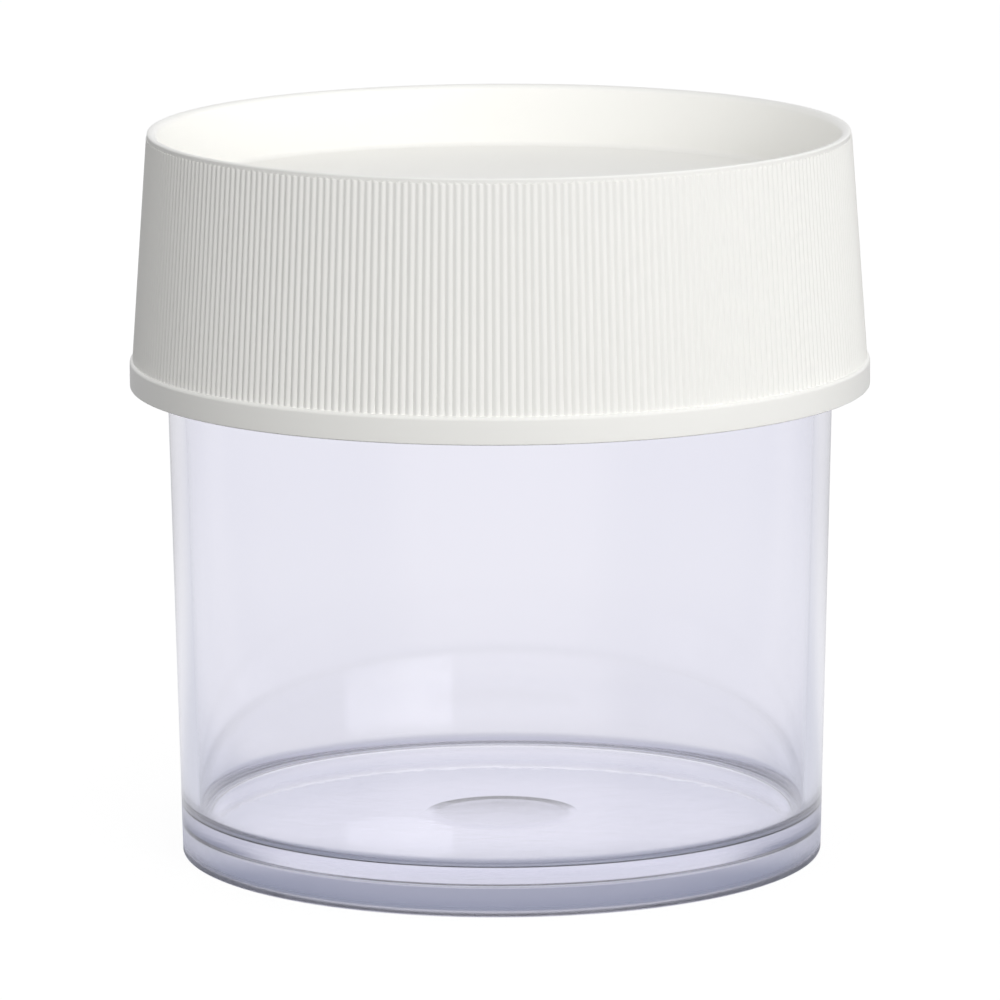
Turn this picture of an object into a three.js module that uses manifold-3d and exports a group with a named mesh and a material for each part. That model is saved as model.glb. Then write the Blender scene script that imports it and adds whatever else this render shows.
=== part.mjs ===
// Wide-mouth screw-cap jar: a clear moulded jar, its sealing liner and a ribbed white cap.
// Millimetres, +Z up. The origin is the centre of the jar's foot, on the ground.

import * as THREE from "three";
import { mergeVertices } from "three/addons/utils/BufferGeometryUtils.js";
import Module from "manifold-3d";

const wasm = await Module();
wasm.setup();

// ---- Jar ----
const jarHeight = 86.6; // ground to mouth
const footRadius = 43.5; // outside, on the ground
const bodyDraft = 1.27; // degrees that the wall leans out as it rises
const neckLength = 21; // straight stretch below the mouth, which carries the thread
const wallThickness = 2.4;
const floorThickness = 2.3;
const floorDish = 1.25; // how far the middle of the floor lies below its edge
const footRecessDepth = 4; // ground to the edge of the floor's underside
const footRingThickness = 3.3;
const footRound = 0.6; // both edges of the foot ring
const footRecessFillet = 0.8;
const floorFillet = 1.2; // inside corner of wall and floor
const mouthRound = 0.8;
const gateRadius = 10.5; // shallow disc under the middle of the floor
const gateDepth = 0.2;

// ---- Thread, shared by jar and cap ----
const threadPitch = 5.08;
const threadTurns = 1.5;
const threadHeight = 1.1; // wall to crest
const threadRootWidth = 2;
const threadCrestWidth = 0.9;
const threadFadeTurns = 0.08; // each end of a thread dies away over this part of a turn
const threadToMouth = 4.2; // upper end of the jar's thread to the mouth
const threadSideClearance = 0.45; // radial, crest to the other piece's wall
const threadFlankClearance = 0.35; // axial, between the flanks that pull the cap down

// ---- Liner ----
const linerThickness = 1;
const linerEdgeClearance = 0.4; // radial, to the cap's bore
const linerRound = 0.25;
const seatGap = 0.3; // mouth to liner, and liner to cap

// ---- Cap ----
const skirtDepth = 24.1; // open end of the cap to the underside of its panel
const panelThickness = 1.8;
const recessDepth = 8.6; // lip to panel, where the next jar's foot stands
const recessWallDraft = 2; // degrees that the recess wall leans out as it rises
const recessFillet = 0.8;
const skirtFootWall = 2.9; // bore to the grooves between the ribs, just above the flange
const skirtTopWall = 0.95; // the same at the lip, measured from the top of the bore
const flangeOverhang = 0.3; // past the crests of the ribs
const flangeHeight = 3.4;
const flangeRound = 0.35;
const lipThickness = 1.2;
const lipHeight = 0.7; // smooth band above the ribs
const lipOverhang = 0.33; // past the grooves, just over the crests of the ribs
const lipRound = 0.55; // both edges of the lip
const boreDraft = 0.5; // degrees that the bore closes in towards the panel
const boreLeadIn = 0.6; // chamfer at the open end
const ribCount = 300;
const ribHeight = 0.3;
const stackStepHeight = 0.4; // raised middle of the panel, which enters the next jar's foot
const stackClearance = 0.8; // radial, that step to the foot ring

// ---- Facets ----
const lathedSides = 72;
const arcSteps = 2;
const dishSteps = 3;
const threadStepsPerTurn = 36;
const buried = 0.5; // how far a rib or a thread reaches into the wall that carries it
const sunk = 0.12; // depth below its wall at which a fading thread ends
const weldDistance = 1e-4;

const slope = (degrees) => Math.tan(THREE.MathUtils.degToRad(degrees));

// ---- Sizes that follow ----
const neckFoot = jarHeight - neckLength;
const neckRadius = footRadius + neckFoot * slope(bodyDraft);
const neckBoreRadius = neckRadius - wallThickness;
const floorTop = footRecessDepth + floorThickness;
const floorRadius = footRadius + floorTop * slope(bodyDraft) - wallThickness;
const footRecessRadius = footRadius - footRingThickness;
const jarThreadFoot = jarHeight - threadToMouth - threadRootWidth - threadTurns * threadPitch;
const capBoreRadius = neckRadius + threadHeight + threadSideClearance;
const capBoreTopRadius = capBoreRadius - skirtDepth * slope(boreDraft);
const linerRadius = capBoreTopRadius - linerEdgeClearance;
const linerFoot = jarHeight + seatGap;
const capFoot = linerFoot + linerThickness + seatGap - skirtDepth;
const flankSlope = (threadRootWidth - threadCrestWidth) / 2 / threadHeight;
const flankToFlank = threadRootWidth - flankSlope * (capBoreRadius - neckRadius) + threadFlankClearance;
const capThreadFoot = jarThreadFoot - flankToFlank - capFoot;
const skirtFootRadius = capBoreRadius + skirtFootWall;
const skirtTopRadius = capBoreTopRadius + skirtTopWall;
const flangeRadius = skirtFootRadius + ribHeight + flangeOverhang;
const panelTop = skirtDepth + panelThickness;
const capHeight = panelTop + recessDepth;
const lipFoot = capHeight - lipHeight;
const lipRadius = skirtTopRadius + lipOverhang;
const lipBoreRadius = skirtTopRadius - lipThickness;
const recessRadius = lipBoreRadius - recessDepth * slope(recessWallDraft);
const stackStepRadius = footRecessRadius - stackClearance;
const skirtRadiusAt = (height) =>
  THREE.MathUtils.mapLinear(height, flangeHeight, lipFoot, skirtFootRadius, skirtTopRadius);

// ---- Shaping ----

// Outline of a lathed piece through corners [radius, height, rounding], each rounded by its own arc.
function roundedOutline(corners) {
  const place = (corner) => new THREE.Vector2(corner[0], corner[1]);
  return corners.flatMap((corner, i) => {
    const here = place(corner);
    const radius = corner[2];
    if (!radius) return [here];
    const back = place(corners[i - 1]).sub(here).normalize();
    const onward = place(corners[i + 1]).sub(here).normalize();
    const halfAngle = back.angleTo(onward) / 2;
    const reach = radius / Math.tan(halfAngle);
    const centre = back.clone().add(onward).setLength(radius / Math.sin(halfAngle)).add(here);
    const start = back.multiplyScalar(reach).add(here).sub(centre);
    const end = onward.multiplyScalar(reach).add(here).sub(centre);
    const clockwise = start.cross(end) < 0;
    const arc = new THREE.ArcCurve(centre.x, centre.y, radius, start.angle(), end.angle(), clockwise);
    return arc.getPoints(arcSteps);
  });
}

// Turns an outline, which runs from axis to axis by way of the outside, about +Z.
function lathed(corners) {
  return new THREE.LatheGeometry(roundedOutline(corners), lathedSides).rotateX(Math.PI / 2);
}

// Corners along one face of the dished floor, from a radius out to its rim, which is left out.
function dishCorners(fromRadius, rimRadius, rimHeight) {
  return Array.from({ length: dishSteps }, (_, i) => {
    const radius = THREE.MathUtils.lerp(fromRadius, rimRadius, i / dishSteps);
    return [radius, rimHeight - floorDish * (1 - (radius / rimRadius) ** 2)];
  });
}

// A straight bar wrapped round the axis as a right-handed helical ridge whose ends die away.
// It stands out of a neck when side is 1, and in from a bore when side is -1.
function helicalRidge(wallRadius, side, foot) {
  const section = new THREE.Shape();
  section.moveTo(-threadRootWidth / 2, -side * buried);
  section.lineTo(threadRootWidth / 2, -side * buried);
  section.lineTo(threadRootWidth / 2, 0);
  section.lineTo(threadCrestWidth / 2, side * threadHeight);
  section.lineTo(-threadCrestWidth / 2, side * threadHeight);
  section.lineTo(-threadRootWidth / 2, 0);
  const steps = Math.ceil(threadStepsPerTurn * threadTurns);
  const bar = new THREE.ExtrudeGeometry(section, { depth: threadTurns, steps, bevelEnabled: false });
  const points = bar.getAttribute("position");
  for (let i = 0; i < points.count; i += 1) {
    const turn = points.getZ(i);
    const out = points.getY(i) * side;
    const strength = Math.min(1, turn / threadFadeTurns, (threadTurns - turn) / threadFadeTurns);
    const crest = (threadHeight + sunk) * strength - sunk;
    const reach = out > 0 ? crest : Math.min(out, -sunk);
    const radius = wallRadius + side * reach;
    const angle = turn * 2 * Math.PI;
    const height = foot + threadRootWidth / 2 + points.getX(i) + turn * threadPitch;
    points.setXYZ(i, radius * Math.cos(angle), radius * Math.sin(angle), height);
  }
  return bar;
}

// The fine grip ribs: a saw-edged ring that follows the cone of the skirt.
function ribbedRing() {
  const outline = new THREE.Shape();
  for (let i = 0; i < 2 * ribCount; i += 1) {
    const radius = i % 2 ? skirtFootRadius : skirtFootRadius + ribHeight;
    const angle = (i * Math.PI) / ribCount;
    if (i) outline.lineTo(radius * Math.cos(angle), radius * Math.sin(angle));
    else outline.moveTo(radius, 0);
  }
  outline.holes.push(new THREE.Path().absarc(0, 0, skirtFootRadius - 2 * buried, 0, 2 * Math.PI));
  const foot = flangeHeight - buried;
  const depth = lipFoot - foot;
  const curveSegments = lathedSides / 2;
  const ring = new THREE.ExtrudeGeometry(outline, { depth, bevelEnabled: false, curveSegments });
  const points = ring.getAttribute("position");
  for (let i = 0; i < points.count; i += 1) {
    const height = foot + points.getZ(i);
    const across = Math.hypot(points.getX(i), points.getY(i));
    const scale = (across + skirtRadiusAt(height) - skirtFootRadius) / across;
    points.setXYZ(i, points.getX(i) * scale, points.getY(i) * scale, height);
  }
  return ring;
}

// ---- Solids and meshes ----

// Welds a closed geometry's corners, drops the triangles that close up on the axis, and makes it a solid.
function toSolid(geometry) {
  const bare = geometry.clone();
  bare.deleteAttribute("normal");
  bare.deleteAttribute("uv");
  const merged = mergeVertices(bare, weldDistance);
  const index = merged.getIndex().array;
  const triVerts = [];
  for (let i = 0; i < index.length; i += 3) {
    const [a, b, c] = index.slice(i, i + 3);
    if (a !== b && b !== c && c !== a) triVerts.push(a, b, c);
  }
  const vertProperties = new Float32Array(merged.getAttribute("position").array);
  const mesh = new wasm.Mesh({ numProp: 3, vertProperties, triVerts: new Uint32Array(triVerts) });
  return new wasm.Manifold(mesh);
}

function toGeometry(solid) {
  const { vertProperties, triVerts } = solid.getMesh();
  const geometry = new THREE.BufferGeometry();
  geometry.setAttribute("position", new THREE.BufferAttribute(vertProperties, 3));
  geometry.setIndex(new THREE.BufferAttribute(triVerts, 1));
  geometry.computeVertexNormals();
  return geometry;
}

// A named mesh whose own frame stands at a height above the ground.
function namedMesh(name, solid, material, height) {
  const mesh = new THREE.Mesh(toGeometry(solid), material);
  mesh.name = name;
  mesh.position.z = height;
  return mesh;
}

// ---- Pieces ----

// Clear jar in one moulding: foot ring, dished floor, leaning wall, and a neck with its thread.
function jarSolid() {
  const underside = dishCorners(gateRadius, footRecessRadius, footRecessDepth);
  const gateTop = underside[0][1] + gateDepth;
  const body = toSolid(lathed([
    [0, gateTop],
    [gateRadius, gateTop],
    ...underside,
    [footRecessRadius, footRecessDepth, footRecessFillet],
    [footRecessRadius, 0, footRound],
    [footRadius, 0, footRound],
    [neckRadius, neckFoot],
    [neckRadius, jarHeight, mouthRound],
    [neckBoreRadius, jarHeight, mouthRound],
    [neckBoreRadius, neckFoot],
    [floorRadius, floorTop, floorFillet],
    ...dishCorners(0, floorRadius, floorTop).reverse(),
  ]));
  return body.add(toSolid(helicalRidge(neckRadius, 1, jarThreadFoot)));
}

// Plain sealing disc, which the cap presses on the mouth.
function linerSolid() {
  return toSolid(lathed([
    [0, 0],
    [linerRadius, 0, linerRound],
    [linerRadius, linerThickness, linerRound],
    [0, linerThickness],
  ]));
}

// White cap in one moulding, from the open end of its skirt up: flange, ribbed skirt, lip, recessed panel.
function capSolid() {
  const shell = toSolid(lathed([
    [0, skirtDepth],
    [capBoreTopRadius, skirtDepth],
    [capBoreRadius, boreLeadIn],
    [capBoreRadius + boreLeadIn, 0],
    [flangeRadius, 0, flangeRound],
    [flangeRadius, flangeHeight, flangeRound],
    [skirtRadiusAt(flangeHeight) - sunk, flangeHeight],
    [skirtRadiusAt(lipFoot) - sunk, lipFoot],
    [lipRadius, lipFoot],
    [lipRadius, capHeight, lipRound],
    [lipBoreRadius, capHeight, lipRound],
    [recessRadius, panelTop, recessFillet],
    [stackStepRadius + stackStepHeight, panelTop],
    [stackStepRadius, panelTop + stackStepHeight],
    [0, panelTop + stackStepHeight],
  ]));
  const ribs = toSolid(ribbedRing());
  const thread = toSolid(helicalRidge(capBoreRadius, -1, capThreadFoot));
  return shell.add(ribs).add(thread);
}

// ---- Scene graph ----

const clearPlastic = new THREE.MeshStandardMaterial({
  color: 0xdcdde8,
  roughness: 0.05,
  metalness: 0,
  transparent: true,
  opacity: 0.35,
});
const sealingFoam = new THREE.MeshStandardMaterial({ color: 0xf2f0ea, roughness: 0.6, metalness: 0 });
const whitePlastic = new THREE.MeshStandardMaterial({ color: 0xf3f2ee, roughness: 0.35, metalness: 0 });

const cappedJar = new THREE.Group();
cappedJar.add(
  namedMesh("jar", jarSolid(), clearPlastic, 0),
  namedMesh("cap_liner", linerSolid(), sealingFoam, linerFoot),
  namedMesh("screw_cap", capSolid(), whitePlastic, capFoot),
);

export default cappedJar;
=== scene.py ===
import math

import bmesh
import bpy
from mathutils import Matrix, Vector


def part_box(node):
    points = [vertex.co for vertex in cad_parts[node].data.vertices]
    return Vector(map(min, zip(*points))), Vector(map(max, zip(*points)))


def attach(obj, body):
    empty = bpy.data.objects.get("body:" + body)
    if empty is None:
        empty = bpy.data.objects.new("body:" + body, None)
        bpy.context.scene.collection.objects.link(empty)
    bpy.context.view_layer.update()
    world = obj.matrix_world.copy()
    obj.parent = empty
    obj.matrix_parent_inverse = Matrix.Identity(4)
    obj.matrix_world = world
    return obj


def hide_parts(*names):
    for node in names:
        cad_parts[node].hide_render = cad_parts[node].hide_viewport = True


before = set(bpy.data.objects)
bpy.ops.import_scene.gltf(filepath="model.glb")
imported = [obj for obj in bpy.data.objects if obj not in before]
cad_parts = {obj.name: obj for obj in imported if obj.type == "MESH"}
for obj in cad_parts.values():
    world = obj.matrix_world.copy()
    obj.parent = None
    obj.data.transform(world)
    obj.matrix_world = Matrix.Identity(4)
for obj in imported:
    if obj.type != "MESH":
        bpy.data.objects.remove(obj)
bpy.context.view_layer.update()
mm = 0.001
oneTurn = 2 * math.pi
touching = 0.002  # points nearer than this, in millimetres, are one point


# Picks vertices, edges or faces of the piece in hand by a test of their middle point.
def pick(kind, test):
    bpy.ops.mesh.select_mode(type=kind)
    bpy.ops.mesh.select_all(action="DESELECT")
    data = bpy.context.object.data
    shape = bmesh.from_edit_mesh(data)
    if kind == "VERT":
        for vert in shape.verts:
            vert.select_set(bool(test(vert.co / mm)))
    else:
        group = shape.edges if kind == "EDGE" else shape.faces
        for part in group:
            middle = sum((vert.co for vert in part.verts), Vector()) / len(part.verts)
            part.select_set(bool(test(middle / mm)))
    bmesh.update_edit_mesh(data)


def radiusOf(point):
    return math.hypot(point.x, point.y)


# A point's angle about the axis, in degrees.
def degreesOf(point):
    return math.degrees(math.atan2(point.y, point.x))


def near(value, wanted, reach=touching):
    return abs(value - wanted) < reach


# Draws a profile in the XZ plane, extruded from corner to corner, then rounds its corners.
# A corner is (radius, height, rounding) in millimetres, and may give its own number of segments.
def drawProfile(name, corners, arcSteps):
    bpy.ops.object.select_all(action="DESELECT")
    start = (corners[0][0] * mm, 0, corners[0][1] * mm)
    bpy.ops.mesh.primitive_plane_add(size=mm, location=start)
    piece = bpy.context.object
    piece.name = name
    piece.data.name = name
    bpy.ops.object.transform_apply(location=True, rotation=False, scale=False)
    bpy.ops.object.mode_set(mode="EDIT")
    bpy.ops.mesh.merge(type="CENTER")
    for here, onward in zip(corners, corners[1:]):
        step = ((onward[0] - here[0]) * mm, 0, (onward[1] - here[1]) * mm)
        bpy.ops.mesh.extrude_region_move(TRANSFORM_OT_translate={"value": step})
    for before, corner, after in zip(corners, corners[1:], corners[2:]):
        if corner[2]:
            here = Vector(corner[:2])
            back = Vector(before[:2]) - here
            onward = Vector(after[:2]) - here
            reach = corner[2] / math.tan(back.angle(onward) / 2)
            pick("VERT", lambda p: near(p.x, corner[0]) and near(p.z, corner[1]))
            segments = corner[3] if len(corner) > 3 else arcSteps
            bpy.ops.mesh.bevel(
                offset_type="OFFSET", offset=reach * mm, segments=segments, profile=0.5, affect="VERTICES"
            )
    return piece


# Merges what touches and turns all faces outwards.
def closeUp():
    bpy.ops.mesh.select_all(action="SELECT")
    bpy.ops.mesh.remove_doubles(threshold=touching * mm)
    bpy.ops.mesh.normals_make_consistent(inside=False)


def spinProfile(steps, angle=oneTurn):
    bpy.ops.mesh.select_all(action="SELECT")
    bpy.ops.mesh.spin(steps=steps, angle=angle, center=(0, 0, 0), axis=(0, 0, -1))
    closeUp()


def applyModifier(piece, kind, settings):
    modifier = piece.modifiers.new(kind.title(), kind)
    for name, value in settings.items():
        setattr(modifier, name, value)
    bpy.context.view_layer.objects.active = piece
    bpy.ops.object.modifier_apply(modifier=modifier.name)


# Smooth faces with crisp edges. Wide faces keep their own normals beside small rounds.
def smooth(piece, sharpAngle):
    bpy.ops.object.select_all(action="DESELECT")
    piece.select_set(True)
    bpy.context.view_layer.objects.active = piece
    bpy.ops.object.shade_smooth_by_angle(angle=math.radians(sharpAngle))
    applyModifier(piece, "WEIGHTED_NORMAL", {"keep_sharp": True, "weight": 50})


thread = {
    "pitch": 5.08,
    "turns": 1.5,
    "height": 1.1,
    "rootWidth": 2,
    "crestWidth": 0.9,
    "round": 0.2,
    "roundSteps": 3,
    "fadeTurns": 0.08,  # length of the run-out at each end
    "sunk": 0.12,  # depth of the ridge's ends below the wall
    "buried": 0.5,  # depth of its root inside the wall
    "stepsPerTurn": 144,
}


# A ridge wound about the axis: out of a neck with side 1, in from a bore with side -1.
def woundRidge(name, wallRadius, side, foot):
    reach = thread["height"] + thread["buried"]
    middle = wallRadius + side * (thread["height"] - reach / 2)
    bpy.ops.object.select_all(action="DESELECT")
    bpy.ops.mesh.primitive_plane_add(
        size=mm,
        location=(middle * mm, 0, (foot + thread["rootWidth"] / 2) * mm),
        rotation=(math.pi / 2, 0, 0),
    )
    ridge = bpy.context.object
    ridge.name = name
    ridge.scale = (reach, thread["rootWidth"], 1)
    bpy.ops.object.transform_apply(location=True, rotation=True, scale=True)
    bpy.ops.object.mode_set(mode="EDIT")
    crest = wallRadius + side * thread["height"]
    pick("VERT", lambda p: near(p.x, crest))
    bpy.ops.transform.resize(value=(1, 1, thread["crestWidth"] / thread["rootWidth"]))
    bpy.ops.mesh.bevel(
        offset_type="OFFSET",
        offset=thread["round"] * mm,
        segments=thread["roundSteps"],
        profile=0.5,
        affect="VERTICES",
    )
    bpy.ops.mesh.select_all(action="SELECT")
    bpy.ops.mesh.delete(type="ONLY_FACE")
    sectionPoints = len(bmesh.from_edit_mesh(ridge.data).verts)
    bpy.ops.object.mode_set(mode="OBJECT")
    steps = round(thread["stepsPerTurn"] * thread["turns"])
    applyModifier(ridge, "SCREW", {
        "angle": thread["turns"] * oneTurn,
        "screw_offset": thread["turns"] * thread["pitch"] * mm,
        "steps": steps,
        "render_steps": steps,
        "use_merge_vertices": False,
    })
    bpy.ops.object.mode_set(mode="EDIT")
    drop = (thread["height"] + thread["sunk"]) / wallRadius * side
    fadeSteps = round(thread["fadeTurns"] * thread["stepsPerTurn"])
    for fade in range(fadeSteps):
        lowered = 1 - drop * (1 - math.sin(fade / fadeSteps * math.pi / 2))
        for section in (fade, steps - fade):
            bpy.ops.mesh.select_all(action="DESELECT")
            shape = bmesh.from_edit_mesh(ridge.data)
            shape.verts.ensure_lookup_table()
            for point in range(sectionPoints):
                shape.verts[section * sectionPoints + point].select_set(True)
            bmesh.update_edit_mesh(ridge.data)
            bpy.ops.transform.resize(value=(lowered, lowered, 1), center_override=(0, 0, 0))
    bpy.ops.mesh.select_all(action="SELECT")
    bpy.ops.mesh.fill_holes(sides=0)
    closeUp()
    bpy.ops.object.mode_set(mode="OBJECT")
    return ridge


# Makes a ridge one moulding with its piece.
def fuse(piece, ridge):
    applyModifier(piece, "BOOLEAN", {"operation": "UNION", "solver": "EXACT", "object": ridge})
    bpy.data.objects.remove(ridge)


jarLow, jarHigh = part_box("jar")
jar = {
    "height": jarHigh.z / mm,
    "footRadius": 43.5,
    "bodyDraft": 1.27,  # degrees, from the foot up to the neck
    "neckLength": 21,
    "wall": 2.4,
    "floor": 2.3,
    "floorDish": 1.25,  # how far the floor's middle lies below its rim
    "recessDepth": 4,
    "footRing": 3.3,
    "footOuterRound": 0.3,
    "footInnerRound": 0.6,
    "recessFillet": 0.6,
    "floorFillet": 1.7,
    "mouthRound": 0.8,
    "gateRadius": 10.5,
    "gateDepth": 0.05,
    "gateSlope": 1.9,
    "gateRound": 0.9,
    "gateRoundSteps": 4,
    "threadToMouth": 4.2,
    "dishSteps": 10,
    "roundSteps": 8,
    "sides": 256,
    "sharpAngle": 32,
}


# Points along one face of the dished floor, from a radius out to its rim, which is left out.
def dishPoints(fromRadius, rimRadius, rimHeight):
    points = []
    for step in range(jar["dishSteps"]):
        radius = fromRadius + (rimRadius - fromRadius) * step / jar["dishSteps"]
        sag = jar["floorDish"] * (1 - (radius / rimRadius) ** 2)
        points.append((radius, rimHeight - sag, 0))
    return points


def makeJar():
    slope = math.tan(math.radians(jar["bodyDraft"]))
    neckFoot = jar["height"] - jar["neckLength"]
    neckRadius = jar["footRadius"] + neckFoot * slope
    boreRadius = neckRadius - jar["wall"]
    floorTop = jar["recessDepth"] + jar["floor"]
    floorRadius = jar["footRadius"] + floorTop * slope - jar["wall"]
    recessRadius = jar["footRadius"] - jar["footRing"]
    underside = dishPoints(jar["gateRadius"], recessRadius, jar["recessDepth"])
    gateTop = underside[0][1] + jar["gateDepth"]
    corners = [
        (0, gateTop, 0),
        (jar["gateRadius"] - jar["gateSlope"], gateTop, jar["gateRound"], jar["gateRoundSteps"]),
        (*underside[0][:2], jar["gateRound"], jar["gateRoundSteps"]),
        *underside[1:],
        (recessRadius, jar["recessDepth"], jar["recessFillet"]),
        (recessRadius, 0, jar["footInnerRound"]),
        (jar["footRadius"], 0, jar["footOuterRound"]),
        (neckRadius, neckFoot, 0),
        (neckRadius, jar["height"], jar["mouthRound"]),
        (boreRadius, jar["height"], jar["mouthRound"]),
        (boreRadius, neckFoot, 0),
        (floorRadius, floorTop, jar["floorFillet"]),
        *reversed(dishPoints(0, floorRadius, floorTop)),
    ]
    piece = drawProfile("jarMoulding", corners, jar["roundSteps"])
    spinProfile(jar["sides"])
    bpy.ops.object.mode_set(mode="OBJECT")
    foot = jar["height"] - jar["threadToMouth"] - thread["rootWidth"] - thread["turns"] * thread["pitch"]
    fuse(piece, woundRidge("neckThread", neckRadius, 1, foot))
    smooth(piece, jar["sharpAngle"])
    return piece


capLow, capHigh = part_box("screw_cap")
cap = {
    "foot": capLow.z / mm,
    "boreRadius": 46.504,
    "boreDraft": 0.5,
    "boreLeadIn": 0.6,
    "boreFillet": 0.3,
    "skirtDepth": 24.1,
    "panel": 1.8,
    "recessDepth": 8.6,
    "recessDraft": 2,
    "recessFillet": 0.8,
    "skirtFootRadius": 49.404,
    "skirtTopRadius": 47.244,
    "flangeRadius": capHigh.x / mm,
    "flangeHeight": 3.75,
    "flangeFootRound": 0.2,
    "flangeTopRound": 0.55,
    "flangeTopSteps": 3,
    "lipHeight": 0.3,
    "lipOverhang": 0.1,
    "lipThickness": 1.2,
    "lipRound": 0.3,
    "lipInnerRound": 0.9,
    "stepRadius": 39.4,
    "stepHeight": 0.4,
    "stepRound": 0.15,
    "ribs": 300,
    "ribHeight": 0.22,
    "ribFullness": 1.3,  # above 1 for a slimmer rib and a wider groove
    "ribColumns": 6,
    "ribFootDrop": 0.06,
    "ribEnd": 0.5,  # height of the slope from rib to lip
    "threadFoot": 7.105,
    "roundSteps": 4,
    "sharpAngle": 40,
}


def makeCap():
    foot = cap["foot"]
    boreTop = cap["boreRadius"] - cap["skirtDepth"] * math.tan(math.radians(cap["boreDraft"]))
    panelFoot = foot + cap["skirtDepth"]
    panelTop = panelFoot + cap["panel"]
    top = panelTop + cap["recessDepth"]
    flangeTop = foot + cap["flangeHeight"]
    lipFoot = top - cap["lipHeight"]
    ribTop = lipFoot - cap["ribEnd"]
    lipRadius = cap["skirtTopRadius"] + cap["lipOverhang"]
    lipBore = cap["skirtTopRadius"] - cap["lipThickness"]
    recessRadius = lipBore - cap["recessDepth"] * math.tan(math.radians(cap["recessDraft"]))
    corners = [
        (0, panelFoot, 0),
        (boreTop, panelFoot, cap["boreFillet"]),
        (cap["boreRadius"], foot + cap["boreLeadIn"], 0),
        (cap["boreRadius"] + cap["boreLeadIn"], foot, 0),
        (cap["flangeRadius"], foot, cap["flangeFootRound"]),
        (cap["flangeRadius"], flangeTop, cap["flangeTopRound"], cap["flangeTopSteps"]),
        (cap["skirtFootRadius"], flangeTop, 0),
        (cap["skirtTopRadius"], ribTop, 0),
        (lipRadius, lipFoot, 0),
        (lipRadius, top, cap["lipRound"]),
        (lipBore, top, cap["lipInnerRound"]),
        (recessRadius, panelTop, cap["recessFillet"]),
        (cap["stepRadius"] + cap["stepHeight"], panelTop, cap["stepRound"]),
        (cap["stepRadius"], panelTop + cap["stepHeight"], cap["stepRound"]),
        (0, panelTop + cap["stepHeight"], 0),
    ]
    piece = drawProfile("capMoulding", corners, cap["roundSteps"])
    wedge = 360 / cap["ribs"]
    spinProfile(1, math.radians(wedge))

    # One rib: the flange's inner ring goes, columns run up the skirt, and each moves out by the rib's round.
    ringReach = 0.01  # in millimetres
    middleReach = 0.05  # in degrees, as is the next
    columnReach = 0.02
    bead = cap["flangeRadius"] - cap["flangeTopRound"]
    pick("EDGE", lambda p: near(p.z, flangeTop) and near(radiusOf(p), bead, ringReach))
    bpy.ops.mesh.dissolve_edges(use_verts=False)
    skirtEdges = [(cap["skirtFootRadius"], flangeTop), (cap["skirtTopRadius"], ribTop)]
    pick("EDGE", lambda p: near(degreesOf(p), wedge / 2, middleReach) and any(
        near(radiusOf(p), radius, ringReach) and near(p.z, height) for radius, height in skirtEdges
    ))
    bpy.ops.mesh.subdivide(number_cuts=cap["ribColumns"] - 1, ngon=True)
    for column in range(cap["ribColumns"] + 1):
        angle = column * wedge / cap["ribColumns"]
        rise = math.sin(math.pi * column / cap["ribColumns"]) ** cap["ribFullness"] * cap["ribHeight"]
        out = Vector((math.cos(math.radians(angle)), math.sin(math.radians(angle)), 0)) * rise * mm
        for radius, height in skirtEdges:
            pick("VERT", lambda p: near(radiusOf(p), radius, ringReach) and near(p.z, height)
                 and near(degreesOf(p), angle, columnReach))
            dip = cap["ribFootDrop"] * mm * rise / cap["ribHeight"] if near(height, flangeTop) else 0
            bpy.ops.transform.translate(value=out - Vector((0, 0, dip)))
    bpy.ops.mesh.select_all(action="SELECT")
    bpy.ops.mesh.spin(
        steps=cap["ribs"] - 1,
        angle=oneTurn - math.radians(wedge),
        dupli=True,
        center=(0, 0, 0),
        axis=(0, 0, -1),
    )
    closeUp()
    bpy.ops.object.mode_set(mode="OBJECT")
    fuse(piece, woundRidge("boreThread", cap["boreRadius"], -1, foot + cap["threadFoot"]))
    smooth(piece, cap["sharpAngle"])
    return piece


linerLow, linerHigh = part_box("cap_liner")
liner = {
    "radius": linerHigh.x / mm,
    "round": 0.25,
    "markRadius": 43.8,  # the mouth's mark in the foam
    "markDepth": 0.12,
    "markReach": 1.3,
    "markFlat": 1,
    "roundSteps": 4,
    "sides": 192,
    "sharpAngle": 40,
}


def makeLiner():
    foot = linerLow.z / mm
    top = linerHigh.z / mm
    mark = liner["markRadius"]
    dent = foot + liner["markDepth"]
    corners = [
        (0, foot, 0),
        (mark - liner["markReach"], foot, 0),
        (mark - liner["markFlat"], dent, 0),
        (mark + liner["markFlat"], dent, 0),
        (mark + liner["markReach"], foot, 0),
        (liner["radius"], foot, liner["round"]),
        (liner["radius"], top, liner["round"]),
        (0, top, 0),
    ]
    piece = drawProfile("linerDisc", corners, liner["roundSteps"])
    spinProfile(liner["sides"])
    bpy.ops.object.mode_set(mode="OBJECT")
    smooth(piece, liner["sharpAngle"])
    return piece


jarPiece = makeJar()
print("jar", len(jarPiece.data.polygons))
capPiece = makeCap()
print("cap", len(capPiece.data.polygons))
linerPiece = makeLiner()
print("liner", len(linerPiece.data.polygons))


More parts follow.
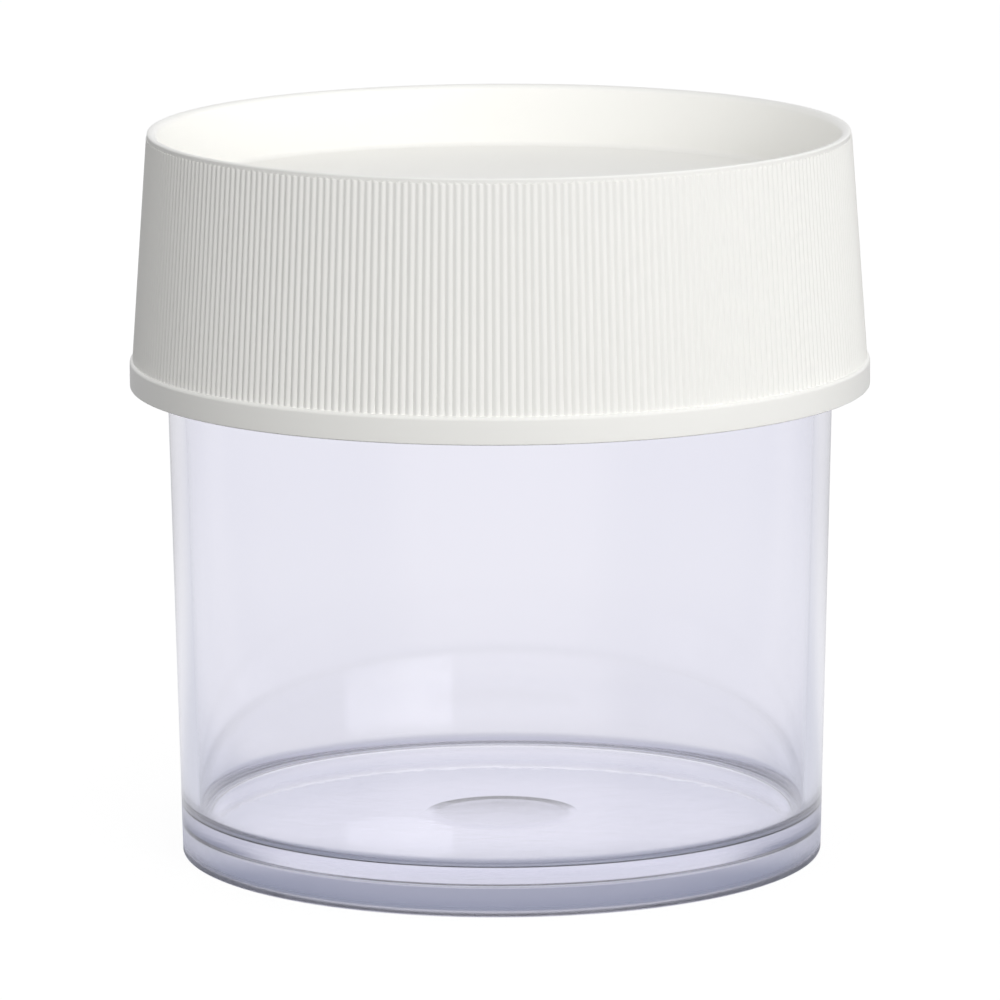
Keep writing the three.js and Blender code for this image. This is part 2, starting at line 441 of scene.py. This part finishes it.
# A socket that can stand in sums: each sum adds its Math node.
class Wire:
    def __init__(self, tree, socket=None):
        self.tree = tree
        self.socket = socket

    # Adds any node: its type, its settings, then values or links for its sockets.
    def node(self, kind, settings, inputs, output=0):
        made = self.tree.nodes.new("ShaderNode" + kind)
        for name, value in settings.items():
            if name == "stops":
                elements = made.color_ramp.elements
                while len(elements) < len(value):
                    elements.new(0.5)
                for element, (place, colour) in zip(elements, value):
                    element.position = place
                    element.color = colour
            else:
                setattr(made, name, value)
        for name, value in inputs.items():
            if isinstance(value, Wire):
                self.tree.links.new(value.socket, made.inputs[name])
            else:
                made.inputs[name].default_value = value
        return Wire(self.tree, made.outputs[output] if len(made.outputs) else None)

    def mathNode(self, operation, first, second):
        return self.node("Math", {"operation": operation}, {0: first, 1: second})

    def __add__(self, other):
        return self.mathNode("ADD", self, other)

    def __radd__(self, other):
        return self.mathNode("ADD", other, self)

    def __sub__(self, other):
        return self.mathNode("SUBTRACT", self, other)

    def __rsub__(self, other):
        return self.mathNode("SUBTRACT", other, self)

    def __mul__(self, other):
        return self.mathNode("MULTIPLY", self, other)

    def __rmul__(self, other):
        return self.mathNode("MULTIPLY", other, self)


def newMaterial(name):
    material = bpy.data.materials.new(name)
    material.use_nodes = True
    material.node_tree.nodes.clear()
    return material, Wire(material.node_tree)


def noise(base, place, scale, detail):
    return base.node("TexNoise", {}, {"Vector": place, "Scale": scale, "Detail": detail})


def mixColours(base, factor, first, second, blend="MIX"):
    return base.node("Mix", {"data_type": "RGBA", "blend_type": blend}, {0: factor, 6: first, 7: second}, 2)


# Goes smoothly from one level to another as a value crosses a stretch.
def ease(base, value, stretch, level=1, startLevel=0):
    return base.node("MapRange", {"interpolation_type": "SMOOTHSTEP"}, {
        "Value": value,
        "From Min": stretch[0],
        "From Max": stretch[1],
        "To Min": startLevel,
        "To Max": level,
    })


def give(piece, material):
    piece.data.materials.clear()
    piece.data.materials.append(material)


clearPlastic = {
    "tint": (0.975, 0.972, 1, 1),
    "deepTint": (0.963, 0.96, 0.99, 1),
    "absorption": (0.34, 0.34, 0.64, 1),
    "density": 5,
    "driftScale": 30,
    "hazeScale": 90,
    "roughness": 0.012,
    "roughnessSpread": 0.012,
    "baseTop": (9.6, 8),  # from this height down to this, the base turns matte
    "baseInside": (38.5, 40.5),  # and outwards between these radii
    "baseRoughness": 0.13,
    "gateFade": 2,  # width of the stretch in which the gate disc turns matte
    "gateRoughness": 0.1,
    "footTop": (1.5, 0.5),  # the same as baseTop, for the foot ring
    "footRoughness": 0.22,
    "flowScale": 280,
    "flowDepth": 0.00001,
    "ior": 1.586,
}


def makeClearPlastic():
    material, base = newMaterial("clearPlastic")
    place = base.node("TexCoord", {}, {}, "Object")
    drift = noise(base, place, clearPlastic["driftScale"], 2)
    colour = mixColours(base, drift, clearPlastic["tint"], clearPlastic["deepTint"])
    haze = noise(base, place, clearPlastic["hazeScale"], 3)
    inMillimetres = base.node("VectorMath", {"operation": "SCALE"}, {0: place, "Scale": 1 / mm})
    height = base.node("SeparateXYZ", {}, {"Vector": inMillimetres}, "Z")
    flat = base.node("VectorMath", {"operation": "MULTIPLY"}, {0: inMillimetres, 1: (1, 1, 0)})
    fromAxis = base.node("VectorMath", {"operation": "LENGTH"}, {0: flat}, 1)
    gateEdge = (jar["gateRadius"], jar["gateRadius"] - clearPlastic["gateFade"])
    low = ease(base, height, clearPlastic["baseTop"])
    ring = ease(base, fromAxis, clearPlastic["baseInside"], clearPlastic["baseRoughness"])
    disc = ease(base, fromAxis, gateEdge, clearPlastic["gateRoughness"])
    edge = ease(base, height, clearPlastic["footTop"], clearPlastic["footRoughness"])
    matte = low * (ring + disc) + edge
    flow = noise(base, place, clearPlastic["flowScale"], 2)
    wavy = base.node("Bump", {}, {
        "Strength": 1,
        "Distance": clearPlastic["flowDepth"],
        "Height": flow * low,
    })
    spread = clearPlastic["roughnessSpread"]
    shader = base.node("BsdfPrincipled", {}, {
        "Base Color": colour,
        "Roughness": haze * spread + (clearPlastic["roughness"] - spread / 2) + matte,
        "IOR": clearPlastic["ior"],
        "Transmission Weight": 1,
        "Normal": wavy,
    })
    body = base.node("VolumeAbsorption", {}, {
        "Color": clearPlastic["absorption"],
        "Density": clearPlastic["density"],
    })
    base.node("OutputMaterial", {}, {"Surface": shader, "Volume": body})
    return material


whitePlastic = {
    "pale": (0.955, 0.949, 0.915, 1),
    "shade": (0.935, 0.93, 0.895, 1),
    "roughness": 0.3,
    "roughnessSpread": 0.04,
    "driftScale": 45,
    "waveScale": 160,
    "grainScale": 2600,
    "grainLevel": 0.4,
    "bumpStrength": 0.12,
    "bumpDepth": 0.00004,
    "ior": 1.49,
}


def makeWhitePlastic():
    material, base = newMaterial("whitePlastic")
    place = base.node("TexCoord", {}, {}, "Object")
    drift = noise(base, place, whitePlastic["driftScale"], 4)
    colour = mixColours(base, drift, whitePlastic["shade"], whitePlastic["pale"])
    grain = noise(base, place, whitePlastic["grainScale"], 2)
    waves = noise(base, place, whitePlastic["waveScale"], 2)
    bump = base.node("Bump", {}, {
        "Strength": whitePlastic["bumpStrength"],
        "Distance": whitePlastic["bumpDepth"],
        "Height": grain * whitePlastic["grainLevel"] + waves,
    })
    spread = whitePlastic["roughnessSpread"]
    shader = base.node("BsdfPrincipled", {}, {
        "Base Color": colour,
        "Roughness": waves * spread + (whitePlastic["roughness"] - spread / 2),
        "IOR": whitePlastic["ior"],
        "Normal": bump,
    })
    base.node("OutputMaterial", {}, {"Surface": shader})
    return material


sealingFoam = {
    "pale": (0.88, 0.87, 0.84, 1),
    "shade": (0.8, 0.79, 0.76, 1),
    "roughness": 0.62,
    "roughnessSpread": 0.1,
    "cellScale": 1600,
    "bumpStrength": 0.5,
    "bumpDepth": 0.0001,
}


def makeSealingFoam():
    material, base = newMaterial("sealingFoam")
    place = base.node("TexCoord", {}, {}, "Object")
    cells = base.node("TexVoronoi", {}, {"Vector": place, "Scale": sealingFoam["cellScale"]})
    colour = mixColours(base, cells, sealingFoam["pale"], sealingFoam["shade"])
    bump = base.node("Bump", {}, {
        "Strength": sealingFoam["bumpStrength"],
        "Distance": sealingFoam["bumpDepth"],
        "Height": cells,
    })
    shader = base.node("BsdfPrincipled", {}, {
        "Base Color": colour,
        "Roughness": cells * sealingFoam["roughnessSpread"] + sealingFoam["roughness"],
        "Normal": bump,
    })
    base.node("OutputMaterial", {}, {"Surface": shader})
    return material


give(jarPiece, makeClearPlastic())
give(capPiece, makeWhitePlastic())
give(linerPiece, makeSealingFoam())
for piece, node, body, slot in (
    (jarPiece, "jar", "jar_body", "clear_plastic"),
    (capPiece, "screw_cap", "cap_body", "white_plastic"),
    (linerPiece, "cap_liner", "liner_body", "sealing_foam"),
):
    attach(piece, body)
    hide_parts(node)
print("materials")

# Lengths are in metres. The light on the pieces is plain. What shows in gloss or through the clear walls
# carries painted shade:
# a painted shadow by its distance from the axis and in front of it, and painted darkening behind it in
# reflections and far to its sides.
stage = {
    "floorSize": 8,
    "floorDrop": 0.00005,
    "floorColour": (0.92, 0.92, 0.92, 1),
    "bounceColour": (0.06, 0.06, 0.06, 1),  # the floor as the pieces are lit by it
    "white": 1.08,
    "cameraWhite": 0.85,  # how far the camera sees white, and the rest shadow
    "seenWhite": 0.85,  # the same for gloss and clear walls
    # The floor's colour by distance from the axis, in gloss and through the clear walls: a painted shadow
    # under the jar, darkest under its foot ring, lighter outwards.
    "paintedShadowRings": [
        (0.0, (0.64, 0.64, 0.75, 1)),
        (0.03, (0.63, 0.63, 0.73, 1)),
        (0.038, (0.54, 0.55, 0.65, 1)),
        (0.047, (0.54, 0.55, 0.65, 1)),
        (0.058, (0.83, 0.83, 0.87, 1)),
        (0.1, (0.835, 0.835, 0.875, 1)),
        (0.2, (0.875, 0.875, 0.905, 1)),
        (0.3, (0.87, 0.87, 0.905, 1)),
        (0.6, (0.91, 0.91, 0.93, 1)),
    ],
    "frontShade": (0, -0.018),  # the shade under the jar's front half
    "shadeReach": (0.055, 0.047),
    "shadeColour": (0.565, 0.59, 0.655, 1),
    # Painted shade: through the clear walls the floor and sky turn darker far to the sides.
    "sideways": (0.52, 0.78),  # X of a direction, where the sides start and are full
    "skySideColour": (0.17, 0.19, 0.26, 1),
    "floorSideColour": (0.71, 0.73, 0.79, 1),
    # Painted shade in reflections: gloss sees the studio dimmer, and the floor behind the jar darker still.
    "reflectedLevel": 0.95,
    "backReach": (0.08, 0.25),
    "backLevel": 0.55,
    "skyDiffuse": 0.64,
    "skyStops": [  # from straight down, 0, over the horizon, 0.5, to straight up
        (0.0, (0.85, 0.85, 0.86, 1)),
        (0.5, (0.8, 0.8, 0.82, 1)),
        (0.53, (0.97, 0.97, 0.98, 1)),
        (0.56, (1.1, 1.1, 1.12, 1)),
        (0.63, (1.1, 1.1, 1.12, 1)),
        (0.7, (0.9, 0.9, 0.93, 1)),
        (0.8, (0.68, 0.68, 0.76, 1)),
        (1.0, (0.5, 0.5, 0.6, 1)),
    ],
}

# Angles are in degrees, the azimuth from the front. The level is what a surface that faces the lamp gets.
lamps = {
    "frontSoftbox": {
        "azimuth": 18,
        "elevation": 15,
        "distance": 1.6,
        "size": (0.9, 0.5),
        "level": 0.43,
        "inGloss": False,
    },
    "sideSoftbox": {
        "azimuth": 90,
        "elevation": 5,
        "distance": 1.6,
        "size": (0.7, 0.25),
        "level": 0.14,
        "inGloss": False,
    },
    "lowWindow": {
        "azimuth": 41,
        "elevation": 7.5,
        "distance": 1.5,
        "size": (1.2, 0.3),
        "level": 0.08,
        "inGloss": True,
    },
}
lampTarget = (0, 0, 0.05)


# Colours of the studio as a ray sees it, with painted shade: darker to the sides through clear walls, less
# in a reflection.
def seenColour(base, colour, direction, sideColour, reflectedLevel, share=1):
    sideways = base.node("SeparateXYZ", {}, {"Vector": direction}, "X")
    aside = base.node("Math", {"operation": "ABSOLUTE"}, {0: sideways})
    side = ease(base, aside, stage["sideways"])
    glossy = base.node("LightPath", {}, {}, "Is Glossy Ray")
    through = base.node("LightPath", {}, {}, "Is Transmission Ray")
    shaded = mixColours(base, through * side * share, colour, sideColour, "MULTIPLY")
    level = 1 - glossy * (1 - through) * (1 - reflectedLevel) * share
    return base.node("VectorMath", {"operation": "SCALE"}, {0: shaded, "Scale": level})


def makeStage():
    bpy.ops.object.select_all(action="DESELECT")
    bpy.ops.mesh.primitive_plane_add(size=stage["floorSize"], location=(0, 0, 0))
    floor = bpy.context.object
    floor.name = "studioFloor"
    floor.location.z = -stage["floorDrop"]
    bpy.ops.object.transform_apply(location=True, rotation=False, scale=False)
    material, base = newMaterial("paleFloor")
    camera = base.node("LightPath", {}, {}, "Is Camera Ray")
    bounced = base.node("LightPath", {}, {}, "Is Diffuse Ray")
    glossy = base.node("LightPath", {}, {}, "Is Glossy Ray")
    through = base.node("LightPath", {}, {}, "Is Transmission Ray")
    seen = base.node("Math", {"operation": "MAXIMUM"}, {0: glossy, 1: through})
    lit = mixColours(base, bounced, stage["floorColour"], stage["bounceColour"])
    diffuse = base.node("BsdfDiffuse", {}, {"Color": lit})
    white = base.node("Emission", {}, {"Color": (1, 1, 1, 1), "Strength": stage["white"]})
    # The floor as gloss and the clear walls see it carries painted shade: a painted shadow by distance from
    # the axis and under the jar's front half, darker reflections behind it, and darker far to the sides.
    place = base.node("TexCoord", {}, {}, "Object")
    fromAxis = base.node("VectorMath", {"operation": "LENGTH"}, {0: place}, 1)
    reach = stage["paintedShadowRings"][-1][0]
    stops = [(radius / reach, colour) for radius, colour in stage["paintedShadowRings"]]
    ramp = base.node("ValToRGB", {"stops": stops}, {"Fac": fromAxis * (1 / reach)})
    back = base.node("SeparateXYZ", {}, {"Vector": place}, "Y")
    front = ease(base, back, stage["frontShade"])
    inside = ease(base, fromAxis, stage["shadeReach"])
    shaded = mixColours(base, front * inside, ramp, stage["shadeColour"], "MULTIPLY")
    outward = base.node("VectorMath", {"operation": "NORMALIZE"}, {0: place})
    reflected = ease(base, back, stage["backReach"], stage["backLevel"], stage["reflectedLevel"])
    painted = seenColour(base, shaded, outward, stage["floorSideColour"], reflected, 1 - inside)
    glow = base.node("Emission", {}, {"Color": painted, "Strength": stage["white"]})
    plain = base.node("MixShader", {}, {0: camera * stage["cameraWhite"], 1: diffuse, 2: white})
    mixed = base.node("MixShader", {}, {0: seen * stage["seenWhite"], 1: plain, 2: glow})
    base.node("OutputMaterial", {}, {"Surface": mixed})
    give(floor, material)


def makeWorld():
    world = bpy.data.worlds.new("studioWorld")
    bpy.context.scene.world = world
    world.use_nodes = True
    world.node_tree.nodes.clear()
    base = Wire(world.node_tree)
    direction = base.node("TexCoord", {}, {}, "Generated")
    height = base.node("SeparateXYZ", {}, {"Vector": direction}, "Z")
    sky = base.node("ValToRGB", {"stops": stage["skyStops"]}, {"Fac": height * 0.5 + 0.5})
    camera = base.node("LightPath", {}, {}, "Is Camera Ray")
    plain = base.node("LightPath", {}, {}, "Is Diffuse Ray")
    lighting = base.node("Background", {}, {"Color": (1, 1, 1, 1), "Strength": stage["skyDiffuse"]})
    # Painted shade: the sky seen through the clear walls turns darker far to the sides, and a little dimmer
    # in gloss.
    seen = seenColour(base, sky, direction, stage["skySideColour"], stage["reflectedLevel"])
    mirrored = base.node("Background", {}, {"Color": seen, "Strength": 1})
    background = base.node("MixShader", {}, {0: plain, 1: mirrored, 2: lighting})
    white = base.node("Background", {}, {"Color": (1, 1, 1, 1), "Strength": 1})
    mixed = base.node("MixShader", {}, {0: camera, 1: background, 2: white})
    base.node("OutputWorld", {}, {"Surface": mixed})


# An area lamp turned to the pieces' middle, seen in gloss and through clear walls or not.
def addSoftbox(name, azimuth, elevation, distance, size, level, inGloss):
    turn = math.radians(azimuth)
    rise = math.radians(elevation)
    way = Vector((math.sin(turn) * math.cos(rise), -math.cos(turn) * math.cos(rise), math.sin(rise)))
    target = Vector(lampTarget)
    bpy.ops.object.select_all(action="DESELECT")
    bpy.ops.object.light_add(type="AREA", location=target + way * distance)
    lamp = bpy.context.object
    lamp.name = name
    lamp.data.name = name
    lamp.rotation_euler = (-way).to_track_quat("-Z", "Y").to_euler()
    lamp.data.shape = "RECTANGLE"
    lamp.data.size = size[0]
    lamp.data.size_y = size[1]
    lamp.data.energy = level * (math.pi * distance) ** 2
    lamp.visible_glossy = inGloss
    lamp.visible_transmission = inGloss


view = {
    "place": (-0.00006, -1.09198, 0.24714),
    "down": 10.342,  # degrees below level
    "roll": -0.23,
    "lens": 294.7,
    "sensor": 36,
    "farthest": 50,
}


def addCamera():
    tilt = Matrix.Rotation(math.radians(90 - view["down"]), 3, "X")
    roll = Matrix.Rotation(math.radians(view["roll"]), 3, "Z")
    bpy.ops.object.select_all(action="DESELECT")
    bpy.ops.object.camera_add(location=view["place"], rotation=(tilt @ roll).to_euler())
    camera = bpy.context.object
    camera.name = "studioCamera"
    camera.data.lens = view["lens"]
    camera.data.sensor_width = view["sensor"]
    camera.data.clip_end = view["farthest"]
    bpy.context.scene.camera = camera


clearBounces = 18
glossyBounces = 9
diffuseBounces = 5

makeStage()
makeWorld()
for name, settings in lamps.items():
    addSoftbox(name, **settings)
addCamera()
scene = bpy.context.scene
scene.view_settings.view_transform = "Standard"
scene.cycles.max_bounces = clearBounces
scene.cycles.transmission_bounces = clearBounces
scene.cycles.transparent_max_bounces = clearBounces
scene.cycles.glossy_bounces = glossyBounces
scene.cycles.diffuse_bounces = diffuseBounces
print("stage")
